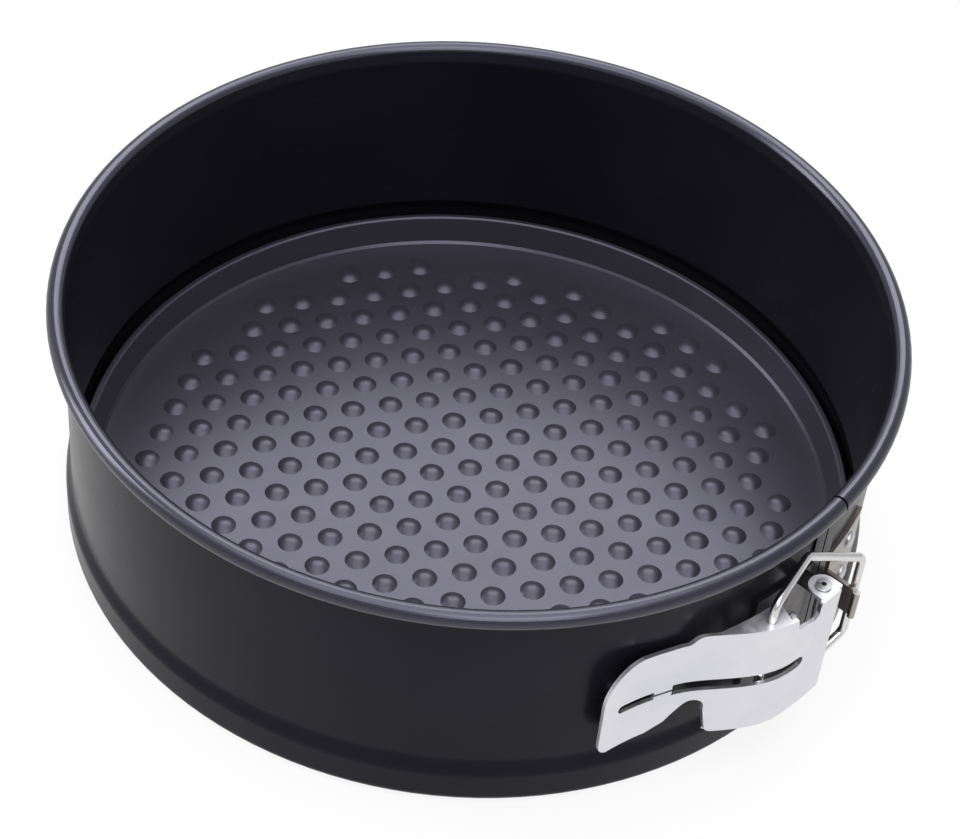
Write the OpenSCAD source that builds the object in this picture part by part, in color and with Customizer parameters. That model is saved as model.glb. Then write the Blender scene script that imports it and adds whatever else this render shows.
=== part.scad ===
// Springform cake pan: a band with an over-centre draw latch, and a dimpled drop-in base.
// Millimetres, +Z up, origin at the centre of the underside. The latch sits at -Y.
// Places round the band are given as an angle from the seam, positive to the right.

/* [Pan] */
// Inside diameter of the band
inner_d = 240; // [200:1:280]
// Height from the table to the top of the rim
pan_h = 80; // [72:1:95]
// Sheet thickness of the band
band_t = 0.6; // [0.5:0.05:0.8]
// Outside diameter of the rolled rim
rim_d = 5.2; // [4:0.1:6]
// Width of the gap where the two ends of the band meet
seam_gap = 0.8; // [0.6:0.1:1.4]
// Width of the folded hem beside the seam
hem_w = 5; // [4:0.5:5.5]

/* [Groove] */
// How far the groove stands out from the wall
groove_out = 1.8; // [1.2:0.1:2.2]
// Height at which the wall starts to swell into the groove
groove_top = 17; // [16:0.5:20]
// Height of the full depth of the groove
groove_full = 11; // [9:0.5:12]
// Outer radius of the bend between the groove and the lip
groove_bend = 3; // [2:0.25:4]
// Width of the lip that carries the base, inward from the wall
lip_w = 9; // [8:0.5:12]

/* [Base] */
// Sheet thickness of the base
base_t = 0.8; // [0.6:0.05:1]
// Free gap between the base and the lip under it
base_lift = 0.2; // [0.1:0.05:0.4]
// Radial gap between the base and the wall
base_gap = 1; // [0.8:0.1:1.5]
// Width of the flat flange round the base
flange_w = 2; // [1.6:0.1:2.6]
// Radial run of the slanted step below the flange
step_run = 2.8; // [2:0.1:4]
// Height of the flange above the floor
step_h = 9.2; // [6:0.2:11]
// Depth of the turned-down edge of the flange
edge_drop = 3; // [2:0.25:4]
// Distance between neighbouring dimples
dimple_pitch = 12.3; // [11:0.1:16]
// Diameter of one dimple
dimple_d = 7.6; // [6:0.1:8.5]
// Height of one dimple above the floor
dimple_h = 1.3; // [0.9:0.1:1.6]
// Plain margin between the dimples and the step
dimple_margin = 8; // [4:0.5:20]
// Direction of the dimple rows
dimple_turn = -38; // [-60:1:60]

/* [Lever] */
// Sheet thickness of the lever
lever_t = 1.2; // [1:0.05:1.3]
// Overall height of the lever
lever_h = 41; // [38:0.5:44]
// Height of the middle of the latch above the table
latch_z = 39; // [38:0.5:42]
// Distance of the channel face from the wall
web_out = 13; // [12.9:0.1:13.8]
// Distance of the thumb tab from the wall
tab_out = 3; // [2.6:0.1:3.6]
// How far the tip of the thumb tab curls away
tip_curl = 3.6; // [2:0.2:5]
// Height of the long slot pressed through the lever
slot_h = 4.2; // [3:0.1:5]

/* [Latch] */
// Distance of the lever's pivot from the wall
pivot_out = 8.9; // [8.7:0.05:9]
// Angle of the lever's pivot from the seam
pivot_a = -5.5; // [-6:0.1:-5.4]
// Distance of the bail's pivot from the wall
bail_out = 8.7; // [8.5:0.05:8.9]
// Angle of the bail's pivot from the seam
bail_a = -14.5; // [-14.8:0.1:-14.2]
// Distance of the hooked leg of the bail from the wall
catch_out = 9.4; // [9.2:0.1:9.6]
// Angle of the hooked leg of the bail from the seam
catch_a = 3.7; // [3.6:0.1:4.5]
// Diameter of the pivot pin
pin_d = 3; // [2.6:0.1:3.2]
// Diameter of the bail's wire
wire_d = 2.6; // [2.2:0.1:2.8]
// Radial clearance of a turning fit
fit = 0.08; // [0.04:0.01:0.1]
// Axial clearance between stacked pieces of the latch
play = 0.2; // [0.15:0.05:0.3]
// Thickness of the bracket plates
plate_t = 1.2; // [1:0.1:1.4]
// Height of the hook that the bail catches on
hook_h = 10; // [8:0.5:20]
// Gap between the hook and the bail at rest
hook_gap = 0.4; // [0.35:0.05:0.6]
// Diameter of a rivet's head
rivet_d = 5; // [4:0.2:6]

/* [Hidden] */
$fn = 96;
round_fn = 180;
eps = 0.01;
skin = 0.03;

inner_r = inner_d / 2;
wall_r = inner_r + band_t;
groove_r = wall_r + groove_out;
lip_r = inner_r - lip_w;
rim_r = rim_d / 2;
rim_z = pan_h - rim_r;
plate_r = wall_r + plate_t;

// Levels of the latch, from the outside in: flanges of the lever, then lugs of the bracket
lever_top = latch_z + lever_h / 2;
lever_low = latch_z - lever_h / 2;
lug_top = lever_top - lever_t - play;
lug_low = lever_low + lever_t + play;
pin_head_h = 0.6;
pin_head_d = pin_d + 1.6;
swing_gap = 0.35;
lug_w = 2 * (web_out - lever_t - pivot_out - swing_gap);
ear_w = pin_d + 5.4;

// A point at radius r and at angle a from the seam
function spot(r, a) = [r * sin(a), -r * cos(a)];
function smooth(x) = let (c = min(max(x, 0), 1)) c * c * (3 - 2 * c);
function unit(v) = v / norm(v);
function between(from, to, share) = from + (to - from) * share;
function polar(r, a) = [r * cos(a), r * sin(a)];
function arc(c, r, a0, a1, n) = [for (i = [0:n]) c + polar(r, between(a0, a1, i / n))];

pivot_p = spot(wall_r + pivot_out, pivot_a);
bail_p = spot(wall_r + bail_out, bail_a);
catch_p = spot(wall_r + catch_out, catch_a);

// ---- Band ----

// Radius of the outer face of the wall at height z, from the groove up
function swell(z) = groove_r - groove_out * smooth((z - groove_full) / (groove_top - groove_full));

function band_side(inset) = concat(
    arc([groove_r - groove_bend, groove_bend], groove_bend - inset, -90, 0, 8),
    [for (i = [0:12]) let (z = between(groove_full, groove_top, i / 12)) [swell(z) - inset, z]]
);

// Section of the band: lip, groove, wall and the rolled rim, whose inside is flush with the wall
module band_profile() {
    inner = band_side(band_t);
    join_a = acos((rim_r - band_t) / rim_r) - 180;
    polygon(concat(
        [[lip_r, 0]],
        band_side(0),
        arc([inner_r + rim_r, rim_z], rim_r, join_a, 180, 30),
        [for (i = [len(inner) - 1:-1:0]) inner[i]],
        [[lip_r, band_t]]
    ));
}

// A plate that follows the band, from radius r0 to r1, z0 to z1, a0 to a1
module arc_plate(r0, r1, z0, z1, a0, a1) {
    rotate([0, 0, a0 - 90])
        rotate_extrude(angle = a1 - a0, $fn = round_fn)
            translate([r0, z0]) square([r1 - r0, z1 - z0]);
}

// A cylinder that points outward through the band, from radius r0 to r1
module radial(r0, r1, d, a, z) {
    rotate([0, 0, a]) translate([0, -r0, z]) rotate([90, 0, 0]) cylinder(h = r1 - r0, d = d);
}

rivet_shank = rivet_d - 2;
rivet_head_h = 1.2;
hinge_plate_a = [-13.5, -3];
hinge_rivet_at = [[-11, latch_z - 11], [-11, latch_z + 11], [-5.5, latch_z]];
catch_plate_a = [catch_a - 0.7, catch_a + 9.3];
catch_rivet_at = [[catch_a + 5.5, latch_z - 7], [catch_a + 5.5, latch_z + 7]];
catch_plate_h = 26;

module rivet_holes(places) {
    for (p = places) radial(inner_r - 3, plate_r + 3, rivet_shank, p[0], p[1]);
}

module side_band() {
    hem_a = hem_w / wall_r * 180 / PI;
    gap_a = seam_gap / 2 / wall_r * 180 / PI;
    hem_z = [groove_top + 1.5, rim_z - rim_r - 0.5];
    color([0.13, 0.12, 0.14])
    difference() {
        union() {
            rotate_extrude($fn = round_fn) band_profile();
            arc_plate(wall_r - eps, wall_r + band_t, hem_z[0], hem_z[1], -hem_a - gap_a, 0);
            arc_plate(wall_r - eps, wall_r + band_t, hem_z[0], hem_z[1], 0, hem_a + gap_a);
        }
        translate([-seam_gap / 2, -groove_r - rim_d, -1]) cube([seam_gap, 30, pan_h + 2]);
        rivet_holes(hinge_rivet_at);
        rivet_holes(catch_rivet_at);
    }
}

// ---- Brackets and rivets ----

module lug(z) {
    difference() {
        union() {
            translate([pivot_p[0], pivot_p[1], z]) cylinder(h = plate_t, d = lug_w);
            rotate([0, 0, pivot_a])
                translate([-lug_w / 2, -wall_r - pivot_out, z]) cube([lug_w, pivot_out + 2, plate_t]);
        }
        translate([0, 0, z - 1]) cylinder(h = plate_t + 2, r = wall_r + plate_t / 2, $fn = round_fn);
        translate([pivot_p[0], pivot_p[1], z - 1]) cylinder(h = plate_t + 2, d = pin_d);
    }
}

module hinge_bracket() {
    color([0.62, 0.6, 0.58])
    difference() {
        union() {
            arc_plate(wall_r + skin, plate_r, lug_low, lug_top, hinge_plate_a[0], hinge_plate_a[1]);
            lug(lug_top - plate_t);
            lug(lug_low);
        }
        rivet_holes(hinge_rivet_at);
    }
}

// Rivets whose outer heads stand on radius seat, and whose inner heads lie flat inside the wall
module rivets(places, seat) {
    for (p = places) {
        radial(inner_r - 0.4, seat + 0.5, rivet_shank, p[0], p[1]);
        radial(inner_r - 0.4, inner_r - skin, rivet_d - 0.6, p[0], p[1]);
        rotate([0, 0, p[0]]) translate([0, -seat - skin, p[1]]) rotate([90, 0, 0])
            rotate_extrude() polygon(concat(
                [[0, 0]],
                arc([rivet_d / 2 - rivet_head_h, 0], rivet_head_h, 0, 90, 5),
                [[0, rivet_head_h]]
            ));
    }
}

module hinge_rivets() {
    color([0.7, 0.7, 0.72]) rivets(hinge_rivet_at, plate_r);
}

module catch_bracket() {
    pull = unit(catch_p - bail_p);
    root = catch_p - pull * (wire_d / 2 + hook_gap);
    tip_out = wire_d / 2 + 1.3;
    color([0.62, 0.6, 0.58])
    difference() {
        union() {
            arc_plate(wall_r + skin, plate_r, latch_z - catch_plate_h / 2, latch_z + catch_plate_h / 2,
                      catch_plate_a[0], catch_plate_a[1]);
            difference() {
                translate([root[0], root[1], latch_z - hook_h / 2])
                    rotate([0, 0, atan2(pull[1], pull[0])]) {
                        translate([-plate_t, -tip_out, 0]) cube([plate_t, tip_out + catch_out, hook_h]);
                        translate([-plate_t * 0.9, -tip_out, 0]) cylinder(h = hook_h, r = plate_t * 0.9);
                    }
                cylinder(h = pan_h, r = wall_r + plate_t / 2, $fn = round_fn);
            }
        }
        rivet_holes(catch_rivet_at);
    }
}

module catch_rivets() {
    color([0.7, 0.7, 0.72]) rivets(catch_rivet_at, plate_r);
}

// A hollow pin, open at both ends and headed over the lever
module pivot_pin() {
    color([0.75, 0.75, 0.77])
    translate([pivot_p[0], pivot_p[1], 0]) difference() {
        pin_solid();
        translate([0, 0, lever_low - 5]) cylinder(h = lever_h + 10, d = pin_d / 2);
    }
}

module pin_solid() {
    union() {
        translate([0, 0, lever_low - play - pin_head_h]) cylinder(h = pin_head_h, d = pin_head_d);
        translate([0, 0, lever_low - play - eps]) cylinder(h = lever_h + 2 * play + 2 * eps, d = pin_d);
        translate([0, 0, lever_top + play]) cylinder(h = pin_head_h, d = pin_head_d);
    }
}

// ---- Lever ----

web_r = wall_r + web_out;
tab_r = wall_r + tab_out;
lever_a = [-36.4, -4.2];
joggle_a = [-26.5, -11.5];
curl_a = -28;
view_a = -19;

// Radius of the lever's outer face at angle a: thumb tab, joggle, channel
function face_r(a) = tab_r
    + (web_r - tab_r) * smooth((a - joggle_a[0]) / (joggle_a[1] - joggle_a[0]))
    + tip_curl * pow(max(0, curl_a - a) / 8, 2);

module lever_sheet() {
    steps = 30;
    angles = [for (i = [0:steps]) between(lever_a[0], lever_a[1], i / steps)];
    linear_extrude(pan_h)
        polygon(concat([for (a = angles) spot(face_r(a), a)],
                       [for (i = [steps:-1:0]) spot(face_r(angles[i]) - lever_t, angles[i])]));
}

// Front view of the lever: x along the sheet from its middle, y as height above latch_z
module lever_outline() {
    half = lever_h / 2;
    end_x = web_r * sin(lever_a[1] - view_a) + 0.4;
    neck_x = (wall_r + pivot_out) * sin(pivot_a - view_a) - ear_w / 2 - 0.4;
    polygon(concat(
        [[end_x, -half]],
        arc([-2.2, -half + 2.5], 2.5, -90, -150, 4),
        [[-5.6, -12]],
        arc([-9, -9.2], 3.2, -10, 140, 8),
        [[-16.5, -13], [-22, -15.4]],
        arc([-33, -11.5], 4.8, -110, -180, 6),
        arc([-23.8, 4], 14, 180, 100, 10),
        [[-20, 17.6], [-12.5, 17.6]],
        arc([-8, half - 4], 4, 150, 90, 4),
        [[neck_x - 9, half], [neck_x - 8, half - 4.6], [neck_x - 1.5, half - 5.4], [neck_x, half - 4]],
        arc([neck_x + 1, half - 1], 1, 180, 90, 3),
        arc([end_x - 1.5, half - 1.5], 1.5, 90, 0, 4)
    ));
}

module lever_slots() {
    translate([-15.5, -slot_h / 2]) square([36, slot_h]);
    translate([20.5, 0]) circle(d = slot_h, $fn = 24);
    translate([-21, -0.4]) square([6, 0.8]);
    translate([-31, -1.5]) square([10, 3]);
    translate([-31, 0]) circle(d = 3, $fn = 24);
}

// Carries a front view of the lever round to its place, as a cutter through the whole depth
module lever_front() {
    rotate([0, 0, view_a]) translate([0, -wall_r, latch_z]) rotate([90, 0, 0])
        linear_extrude(inner_r / 2, center = true) children();
}

flange_a = [-20.3, -12.6];
flange_in = bail_out - wire_d / 2 - 2.6;

module lever_flange(z) {
    steps = 8;
    angles = [for (i = [0:steps]) between(flange_a[0], flange_a[1], i / steps)];
    // The inner edge of the flange runs a little past its ends
    foot_a = [flange_a[0] - 0.6, flange_a[1] + 1];
    depth_r = wall_r + flange_in;
    difference() {
        union() {
            translate([0, 0, z]) linear_extrude(lever_t)
                polygon(concat(
                    [for (a = angles) spot(face_r(a) - lever_t / 2, a)],
                    [for (i = [steps:-1:0]) spot(depth_r, between(foot_a[0], foot_a[1], i / steps))]
                ));
            intersection() {
                union() {
                    translate([pivot_p[0], pivot_p[1], z]) cylinder(h = lever_t, d = ear_w);
                    rotate([0, 0, pivot_a]) translate([-ear_w / 2, -web_r - 1, z])
                        cube([ear_w, web_out - pivot_out + 1, lever_t]);
                }
                cylinder(h = pan_h, r = web_r - lever_t / 2, $fn = round_fn);
            }
        }
        translate([pivot_p[0], pivot_p[1], z - 1]) cylinder(h = lever_t + 2, d = pin_d + 2 * fit);
        translate([bail_p[0], bail_p[1], z - 1]) cylinder(h = lever_t + 2, d = wire_d + 2 * fit);
    }
}

module latch_lever() {
    color([0.86, 0.85, 0.89])
    union() {
        difference() {
            intersection() {
                lever_sheet();
                lever_front() lever_outline();
            }
            lever_front() lever_slots();
        }
        lever_flange(lever_top - lever_t);
        lever_flange(lever_low);
    }
}

// ---- Bail ----

arm_top = lever_top + 6.2;
arm_low = lever_low - 3.4;
leg_top = latch_z + 15.5;
leg_low = latch_z - 15.5;
knee_top = spot(wall_r + 2.2, pivot_a);
knee_low = spot(wall_r + 5.2, pivot_a);
bend_r = 3;

bail_path = [
    [bail_p[0], bail_p[1], arm_low],
    [bail_p[0], bail_p[1], arm_top],
    [knee_top[0], knee_top[1], arm_top + 0.3],
    [catch_p[0], catch_p[1], leg_top],
    [catch_p[0], catch_p[1], leg_low],
    [knee_low[0], knee_low[1], arm_low]
];

// A closed loop of round wire through the points, with a round bend at each. The straights
// run a little way into the bends, which are thicker by the swage.
module wire_loop(path, d, r) {
    n = len(path);
    lap = 0.2;
    swage = 0.02;
    toward = [for (i = [0:n - 1]) unit(path[(i + 1) % n] - path[i])];
    // Half the turning angle at each point, and the length of wire it takes from each side
    half = [for (i = [0:n - 1]) acos(toward[(i + n - 1) % n] * toward[i]) / 2];
    cut = [for (i = [0:n - 1]) r * tan(half[i])];
    for (i = [0:n - 1]) {
        next = (i + 1) % n;
        start = path[i] + toward[i] * (cut[i] - lap);
        length = norm(path[next] - path[i]) - cut[i] - cut[next] + 2 * lap;
        along(start, toward[i]) cylinder(h = length, d = d - 2 * swage, $fn = 48);
        before = toward[(i + n - 1) % n];
        centre = path[i] + unit(toward[i] - before) * r / cos(half[i]);
        first = unit(path[i] - before * cut[i] - centre);
        up = cross(first, before);
        multmatrix([[first[0], before[0], up[0], centre[0]],
                    [first[1], before[1], up[1], centre[1]],
                    [first[2], before[2], up[2], centre[2]],
                    [0, 0, 0, 1]])
            rotate_extrude(angle = 2 * half[i], $fn = 96) translate([r, 0]) circle(d = d, $fn = 48);
    }
}

// Turns the Z axis to the direction v, and starts at p
module along(p, v) {
    translate(p) rotate([0, acos(v[2]), atan2(v[1], v[0])]) children();
}

module wire_bail() {
    color([0.78, 0.78, 0.8]) wire_loop(bail_path, wire_d, bend_r);
}

// ---- Base ----

base_r = inner_r - base_gap;
floor_z = band_t + base_lift;
step_top_r = base_r - flange_w;
step_foot_r = step_top_r - step_run;
dimple_r = (pow(dimple_d / 2, 2) + pow(dimple_h, 2)) / (2 * dimple_h);
dimple_field_r = step_foot_r - dimple_margin;
dimple_ball_z = floor_z + base_t + dimple_h - dimple_r;

// Place of a dimple in row j: the rows stand half a pitch off the centre
function dimple_at(i, j) = dimple_pitch
    * (polar(i + (j + 0.5) / 2, dimple_turn) + polar((j + 0.5) * sqrt(3) / 2, dimple_turn + 90));

module dimple_balls(r) {
    n = ceil(dimple_field_r / dimple_pitch * 1.2) + 2;
    for (i = [-n:n]) for (j = [-n:n])
        if (norm(dimple_at(i, j)) + dimple_d / 2 < dimple_field_r)
            translate(concat(dimple_at(i, j), [dimple_ball_z])) sphere(r = r, $fn = 48);
}

// Section of the base: floor, slanted step, flange and turned-down edge
module base_profile() {
    flange_z = floor_z + base_t + step_h;
    soft = 0.8;
    polygon([
        [0, floor_z],
        [step_foot_r + soft, floor_z],
        [step_foot_r + 2 * soft, floor_z + soft],
        [step_top_r + base_t, flange_z - base_t],
        [base_r - base_t, flange_z - base_t],
        [base_r - base_t, flange_z - edge_drop],
        [base_r, flange_z - edge_drop],
        [base_r, flange_z - soft / 2],
        [base_r - soft / 2, flange_z],
        [step_top_r + soft / 2, flange_z],
        [step_top_r - soft / 4, flange_z - soft / 2],
        [step_foot_r + soft / 2, floor_z + base_t + soft],
        [step_foot_r - soft / 2, floor_z + base_t],
        [0, floor_z + base_t]
    ]);
}

module base_plate() {
    color([0.3, 0.28, 0.32])
    difference() {
        union() {
            rotate_extrude($fn = round_fn) base_profile();
            intersection() {
                dimple_balls(dimple_r);
                translate([0, 0, floor_z + base_t / 2])
                    cylinder(h = base_t + 2 * dimple_h, r = step_foot_r, $fn = round_fn);
            }
        }
        dimple_balls(dimple_r - base_t);
    }
}

side_band();
hinge_bracket();
hinge_rivets();
catch_bracket();
catch_rivets();
pivot_pin();
latch_lever();
wire_bail();
base_plate();
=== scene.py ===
"""Looks of the springform pan: finishes, floor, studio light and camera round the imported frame."""

import math

import bpy
from mathutils import Matrix, Vector


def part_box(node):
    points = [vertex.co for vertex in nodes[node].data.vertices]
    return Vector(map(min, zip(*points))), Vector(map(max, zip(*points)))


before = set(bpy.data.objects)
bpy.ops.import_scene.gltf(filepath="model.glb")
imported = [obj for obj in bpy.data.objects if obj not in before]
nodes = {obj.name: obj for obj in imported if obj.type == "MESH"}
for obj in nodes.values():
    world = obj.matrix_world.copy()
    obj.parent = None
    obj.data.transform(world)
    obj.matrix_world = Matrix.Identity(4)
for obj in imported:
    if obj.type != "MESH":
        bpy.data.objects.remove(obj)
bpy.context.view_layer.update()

RIM_R = (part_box("side_band")[1][0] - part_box("side_band")[0][0]) / 2


# ---- Camera ----

VIEW_TURN = -56.0  # degrees round the pan, from the latch at -Y
VIEW_UP = 45.81  # degrees above the table
VIEW_ROLL = -5.75
VIEW_DISTANCE = 6.094  # in rim radii
VIEW_AIM = (0.217, 1.556)  # degrees by which the lens looks right of and below the pan's foot
LENS_MM = 91.42


def add_camera():
    """The photo's viewpoint: a long lens from above the latch's left, turned a little off level."""
    up_a, roll = math.radians(VIEW_UP), math.radians(VIEW_ROLL)
    yaw, pitch = (math.radians(a) for a in VIEW_AIM)
    look = Vector((0, math.cos(up_a), -math.sin(up_a)))
    right = Vector((1, 0, 0))
    up = right.cross(look)
    right_1 = math.cos(yaw) * right - math.sin(yaw) * look
    look_1 = math.sin(yaw) * right + math.cos(yaw) * look
    up_1 = math.cos(pitch) * up - math.sin(pitch) * look_1
    look_2 = math.sin(pitch) * up + math.cos(pitch) * look_1
    x_axis = math.cos(roll) * right_1 - math.sin(roll) * up_1
    y_axis = math.sin(roll) * right_1 + math.cos(roll) * up_1
    pose = Matrix((x_axis, y_axis, -look_2)).transposed().to_4x4()
    pose.translation = -look * VIEW_DISTANCE * RIM_R
    data = bpy.data.cameras.new("camera")
    data.lens = LENS_MM
    data.sensor_width = 36.0
    data.sensor_fit = "HORIZONTAL"
    camera = bpy.data.objects.new("camera", data)
    camera.matrix_world = Matrix.Rotation(math.radians(VIEW_TURN), 4, "Z") @ pose
    bpy.context.scene.collection.objects.link(camera)
    bpy.context.scene.camera = camera


# ---- Materials ----


class Nodes:
    """A new material and short calls that add its nodes."""

    def __init__(self, name):
        self.material = bpy.data.materials.new(name)
        self.material.use_nodes = True
        self.tree = self.material.node_tree
        self.tree.nodes.clear()
        self.output = self.tree.nodes.new("ShaderNodeOutputMaterial")
        self.place = self.tree.nodes.new("ShaderNodeTexCoord").outputs["Object"]

    def add(self, kind, links=None, **values):
        node = self.tree.nodes.new("ShaderNode" + kind)
        for key, value in values.items():
            setattr(node, key, value)
        for key, value in (links or {}).items():
            if isinstance(value, bpy.types.NodeSocket):
                self.tree.links.new(value, node.inputs[key])
            else:
                node.inputs[key].default_value = value
        return node

    def noise(self, scale, detail=3.0, rough=0.5, stretch=None):
        place = self.place
        if stretch:
            place = self.add("Mapping", {"Vector": place, "Scale": stretch}).outputs["Vector"]
        links = {"Vector": place, "Scale": scale, "Detail": detail, "Roughness": rough}
        return self.add("TexNoise", links).outputs["Fac"]

    def ramp(self, fac, low, high, at=(0.3, 0.7)):
        node = self.add("ValToRGB", {"Fac": fac})
        for stop, position, colour in zip(node.color_ramp.elements, at, (low, high)):
            stop.position = position
            stop.color = (*colour, 1.0)
        return node.outputs["Color"]

    def span(self, fac, low, high, at=(0.3, 0.7)):
        links = {"Value": fac, "From Min": at[0], "From Max": at[1], "To Min": low, "To Max": high}
        return self.add("MapRange", links).outputs["Result"]

    def bump(self, height, distance, strength=1.0):
        links = {"Height": height, "Distance": distance, "Strength": strength}
        return self.add("Bump", links).outputs["Normal"]

    def surface(self, links):
        shader = self.add("BsdfPrincipled", links)
        self.tree.links.new(shader.outputs["BSDF"], self.output.inputs["Surface"])
        return self.material


SHEEN_TINT = (0.80, 0.78, 1.0, 1.0)
RUBBED_SHEEN = 1.0
RUBBED_FADE = 0.0015  # height over which the rubbed rim fades in, in metres
RUBBED_DEPTH = 0.0048  # from the top of the rim down
PEEL_DEPTH = 0.000008
GRAIN_DEPTH = 0.00001
GRAIN_SCALE = 400.0


def coating(name, dark, light, gloss, specular=0.5, rubbed_from=None):
    """Non-stick coating: dark, slightly mottled, with a fine orange-peel skin and faint rub marks.

    Above the height rubbed_from it is polished by use.
    """
    n = Nodes(name)
    cloud = n.noise(14.0, detail=4.0)
    peel = n.noise(900.0, detail=2.0)
    rubs = n.noise(60.0, detail=6.0, rough=0.7, stretch=(1.0, 1.0, 9.0))
    skin = n.bump(peel, PEEL_DEPTH)
    if rubbed_from:
        height = n.add("SeparateXYZ", {"Vector": n.place}).outputs["Z"]
        specular = n.span(height, specular, RUBBED_SHEEN, at=(rubbed_from - RUBBED_FADE, rubbed_from))
    return n.surface({
        "Base Color": n.ramp(cloud, dark, light),
        "Roughness": n.span(rubs, gloss - 0.02, gloss + 0.03),
        "Specular IOR Level": specular,
        "Specular Tint": SHEEN_TINT,
        "Normal": skin,
    })


def plated(name, low, high, rough, grain=(1.0, 1.0, 1.0)):
    """Bright plated metal with a soft grain and uneven polish."""
    n = Nodes(name)
    cloud = n.noise(35.0, detail=3.0)
    streak = n.noise(GRAIN_SCALE, detail=4.0, stretch=grain)
    return n.surface({
        "Base Color": n.ramp(cloud, low, high),
        "Metallic": 1.0,
        "Roughness": n.span(streak, rough - 0.06, rough + 0.08),
        "Normal": n.bump(streak, GRAIN_DEPTH, 0.6),
    })


def dress(node, material):
    mesh = nodes[node].data
    mesh.materials.clear()
    mesh.materials.append(material)
    for face in mesh.polygons:
        face.material_index = 0


def add_materials():
    rim_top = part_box("side_band")[1][2]
    band = coating("band_coating", (0.006, 0.006, 0.009), (0.010, 0.009, 0.013), 0.25,
                   specular=0.13, rubbed_from=rim_top - RUBBED_DEPTH)
    base = coating("base_coating", (0.026, 0.024, 0.034), (0.036, 0.033, 0.046), 0.33, specular=0.75)
    lever = plated("lever_plating", (0.80, 0.80, 0.86), (0.90, 0.89, 0.93), 0.38)
    # Hinge bracket: dark plating, made darker still as painted shade for the shadow in its recess behind
    # the lever.
    hinge = plated("bracket_plating_and_painted_shade", (0.09, 0.085, 0.09), (0.15, 0.14, 0.14), 0.36)
    catch = plated("latch_plating", (0.36, 0.33, 0.30), (0.50, 0.46, 0.42), 0.36)
    rivet = plated("rivet_metal", (0.55, 0.55, 0.57), (0.70, 0.70, 0.72), 0.30)
    wire = plated("bright_wire", (0.72, 0.71, 0.70), (0.84, 0.83, 0.82), 0.18, (1.0, 1.0, 8.0))
    dress("side_band", band)
    dress("base_plate", base)
    dress("latch_lever", lever)
    dress("wire_bail", wire)
    dress("hinge_bracket", hinge)
    dress("catch_bracket", catch)
    for node in ("hinge_rivets", "catch_rivets", "pivot_pin"):
        dress(node, rivet)


# ---- Studio ----


FLOOR_SIZE = 6.0
FLOOR_DROP = 0.0003  # the floor lies this far under the pan


def add_floor():
    """White paper that the camera sees almost unshaded, and that the pan mirrors a little darker."""
    bpy.ops.mesh.primitive_plane_add(size=FLOOR_SIZE, location=(0, 0, -FLOOR_DROP))
    floor = bpy.context.object
    floor.name = "floor"
    n = Nodes("floor_white")
    paper = n.ramp(n.noise(3.0), (0.86, 0.86, 0.86), (0.90, 0.90, 0.90))
    matt = n.add("BsdfDiffuse", {"Color": paper})
    white = n.add("Emission", {"Color": (1, 1, 1, 1), "Strength": 1.0})
    rays = n.add("LightPath")
    dim = n.add("Emission", {"Color": (1, 1, 1, 1), "Strength": 0.85})
    glossy = rays.outputs["Is Glossy Ray"]
    mirrored = n.add("MixShader", {"Fac": glossy, 1: matt.outputs[0], 2: dim.outputs[0]})
    share = n.add("Math", {0: rays.outputs["Is Camera Ray"], 1: 0.86}, operation="MULTIPLY")
    mix = n.add("MixShader", {"Fac": share.outputs[0], 1: mirrored.outputs[0], 2: white.outputs[0]})
    n.tree.links.new(mix.outputs[0], n.output.inputs["Surface"])
    floor.data.materials.append(n.material)


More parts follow.
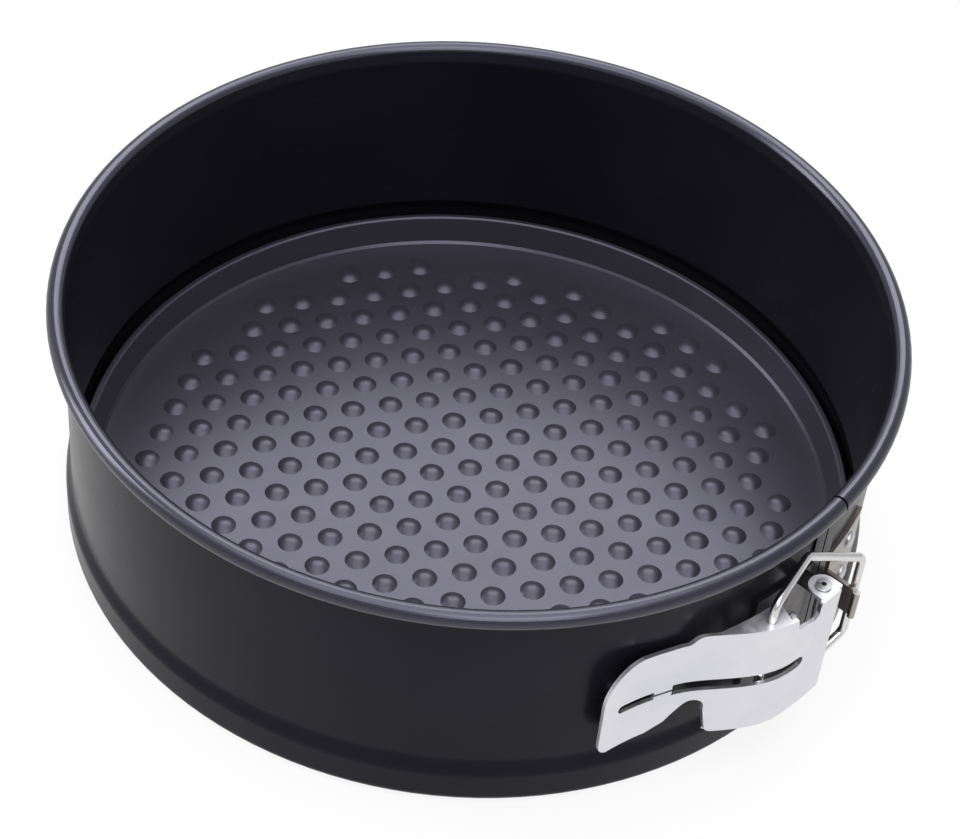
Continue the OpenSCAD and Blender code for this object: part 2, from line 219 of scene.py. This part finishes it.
def add_world():
    """White where the camera sees it, and a dim room for everything else."""
    world = bpy.data.worlds.new("studio")
    bpy.context.scene.world = world
    world.use_nodes = True
    tree = world.node_tree
    tree.nodes.clear()
    output = tree.nodes.new("ShaderNodeOutputWorld")
    room = tree.nodes.new("ShaderNodeBackground")
    room.inputs["Color"].default_value = (0.93, 0.95, 1.0, 1)
    room.inputs["Strength"].default_value = 0.55
    white = tree.nodes.new("ShaderNodeBackground")
    rays = tree.nodes.new("ShaderNodeLightPath")
    seen = tree.nodes.new("ShaderNodeMath")
    seen.operation = "MAXIMUM"
    tree.links.new(rays.outputs["Is Camera Ray"], seen.inputs[0])
    tree.links.new(rays.outputs["Is Transmission Ray"], seen.inputs[1])
    mix = tree.nodes.new("ShaderNodeMixShader")
    tree.links.new(seen.outputs[0], mix.inputs["Fac"])
    tree.links.new(room.outputs[0], mix.inputs[1])
    tree.links.new(white.outputs[0], mix.inputs[2])
    tree.links.new(mix.outputs[0], output.inputs["Surface"])


LAMP_AIM = Vector((0, 0, 0.03))


def add_softbox(name, turn, up, distance, size, power):
    """An area lamp at that azimuth and height in degrees, seen from the camera's side, aimed at the pan."""
    data = bpy.data.lights.new(name, "AREA")
    data.shape = "RECTANGLE"
    data.size, data.size_y = size
    data.energy = power
    lamp = bpy.data.objects.new(name, data)
    side, lift = math.radians(turn + VIEW_TURN - 90), math.radians(up)
    away = Vector((math.cos(side) * math.cos(lift), math.sin(side) * math.cos(lift), math.sin(lift)))
    lamp.location = LAMP_AIM + distance * away
    lamp.rotation_euler = away.to_track_quat("Z", "Y").to_euler()
    bpy.context.scene.collection.objects.link(lamp)


def add_lights():
    add_softbox("back_softbox", 180, 50, 1.5, (1.2, 0.8), 11)
    add_softbox("top_softbox", 0, 84, 1.5, (1.6, 1.4), 14)
    add_softbox("left_softbox", -95, 25, 1.4, (0.5, 1.0), 9)
    add_softbox("front_fill", 15, 50, 1.6, (0.8, 0.8), 6)


SHARP_FROM = 32  # degrees between faces


def smooth_faces():
    """Smooth shading, with edges kept where the sheet is bent sharply."""
    for node in nodes.values():
        bpy.context.view_layer.objects.active = node
        for other in bpy.context.selected_objects:
            other.select_set(False)
        node.select_set(True)
        bpy.ops.object.shade_smooth_by_angle(angle=math.radians(SHARP_FROM))
        even = node.modifiers.new("even_normals", "WEIGHTED_NORMAL")
        even.keep_sharp = True


add_camera()
add_materials()
add_floor()
add_world()
add_lights()
smooth_faces()

scene = bpy.context.scene
scene.view_settings.view_transform = "Standard"
